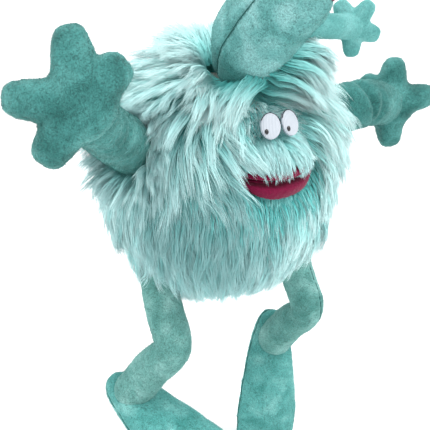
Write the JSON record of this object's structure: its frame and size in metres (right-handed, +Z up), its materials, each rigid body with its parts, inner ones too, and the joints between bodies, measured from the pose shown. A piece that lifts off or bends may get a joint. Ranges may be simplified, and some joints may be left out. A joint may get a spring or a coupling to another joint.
{
  "type": "moving mouth puppet",
  "caption": "Shaggy round hand puppet with a hand-worked mouth, stuffed posable arms and legs, and a smooth second head on top.",
  "frame": {"origin": "centre of the hand opening at the puppet's back, in the plane of its hem", "axes": "+Y out of the hand opening, away from the face; +X to the puppet's own left; +Z up"},
  "size_m": [0.5218, 0.2653, 0.637],
  "materials": {
    "long_fur": "long shaggy two-tone pile in pale mint over teal",
    "short_plush": "short dense nap, soft sheen at the edges",
    "mouth_velour": "deep magenta velour",
    "eye_white": "close satin-stitched white pad",
    "pupil": "tight black embroidery",
    "filling": "loose polyester filling",
    "board": "thin flexible board",
    "webbing": "woven elastic",
    "lining_cloth": "smooth woven lining"
  },
  "bodies": {
    "root": {"fur_cover_front": "long_fur", "fur_cover_back": "long_fur", "body_wadding": "filling", "hand_sleeve": "lining_cloth", "entry_hem": "long_fur", "muzzle_cover": "long_fur", "upper_mouth_board": "board", "upper_mouth_lining": "mouth_velour", "finger_strap": "webbing", "mouth_hinge_tape": "webbing", "eye_white_right": "eye_white", "eye_white_left": "eye_white", "pupil_right": "pupil", "pupil_left": "pupil"},
    "lower_jaw": {"chin_cover": "long_fur", "lower_mouth_board": "board", "lower_mouth_lining": "mouth_velour", "thumb_strap": "webbing"},
    "right_arm": {"right_arm_cover": "short_plush", "right_arm_filling": "filling"},
    "right_hand": {"right_hand_cover": "short_plush", "right_hand_filling": "filling"},
    "right_thigh": {"right_thigh_cover": "short_plush", "right_thigh_filling": "filling"},
    "right_shin": {"right_shin_cover": "short_plush", "right_shin_filling": "filling"},
    "right_foot": {"right_foot_cover": "short_plush", "right_foot_filling": "filling"},
    "left_arm": {"left_arm_cover": "short_plush", "left_arm_filling": "filling"},
    "left_hand": {"left_hand_cover": "short_plush", "left_hand_filling": "filling"},
    "left_thigh": {"left_thigh_cover": "short_plush", "left_thigh_filling": "filling"},
    "left_shin": {"left_shin_cover": "short_plush", "left_shin_filling": "filling"},
    "left_foot": {"left_foot_cover": "short_plush", "left_foot_filling": "filling"},
    "crest": {"crest_cover": "short_plush", "crest_filling": "filling", "crest_mouth_lining": "mouth_velour"},
    "crest_hand": {"crest_hand_cover": "short_plush", "crest_hand_filling": "filling"}
  },
  "joints": [
    {"name": "jaw_open", "type": "hinge", "parent": "root", "child": "lower_jaw", "pos_m": [0, -0.1463, 0.03], "axis": [1, 0, 0], "range_deg": [0, 32]},
    {"name": "right_shoulder", "type": "hinge", "parent": "root", "child": "right_arm", "pos_m": [-0.1, -0.1123, 0.045], "axis": [0, 1, 0], "range_deg": [-30, 30]},
    {"name": "right_elbow", "type": "hinge", "parent": "right_arm", "child": "right_hand", "pos_m": [-0.158, -0.1753, 0.091], "axis": [0.8422, -0.4597, 0.2819], "range_deg": [-25, 25]},
    {"name": "right_hip", "type": "hinge", "parent": "root", "child": "right_thigh", "pos_m": [-0.088, -0.1163, -0.078], "axis": [1, 0, 0], "range_deg": [-30, 30]},
    {"name": "right_knee", "type": "hinge", "parent": "right_thigh", "child": "right_shin", "pos_m": [-0.092, -0.1523, -0.163], "axis": [1, 0, 0], "range_deg": [-25, 25]},
    {"name": "right_ankle", "type": "hinge", "parent": "right_shin", "child": "right_foot", "pos_m": [-0.124, -0.1183, -0.234], "axis": [1, 0, 0], "range_deg": [-20, 20]},
    {"name": "left_shoulder", "type": "hinge", "parent": "root", "child": "left_arm", "pos_m": [0.1, -0.1123, 0.045], "axis": [0, 1, 0], "range_deg": [-30, 30]},
    {"name": "left_elbow", "type": "hinge", "parent": "left_arm", "child": "left_hand", "pos_m": [0.172, -0.1363, 0.062], "axis": [-0.1586, 0.0433, -0.9864], "range_deg": [-25, 25]},
    {"name": "left_hip", "type": "hinge", "parent": "root", "child": "left_thigh", "pos_m": [0.088, -0.1163, -0.078], "axis": [1, 0, 0], "range_deg": [-30, 30]},
    {"name": "left_knee", "type": "hinge", "parent": "left_thigh", "child": "left_shin", "pos_m": [0.088, -0.1613, -0.171], "axis": [1, 0, 0], "range_deg": [-25, 25]},
    {"name": "left_ankle", "type": "hinge", "parent": "left_shin", "child": "left_foot", "pos_m": [0.075, -0.1213, -0.237], "axis": [1, 0, 0], "range_deg": [-20, 20]},
    {"name": "crest_nod", "type": "hinge", "parent": "root", "child": "crest", "pos_m": [0, -0.1403, 0.112], "axis": [1, 0, 0], "range_deg": [-12, 12]},
    {"name": "crest_hand_swing", "type": "hinge", "parent": "crest", "child": "crest_hand", "pos_m": [0.04, -0.1683, 0.16], "axis": [0, 1, 0], "range_deg": [-25, 25]}
  ]
}
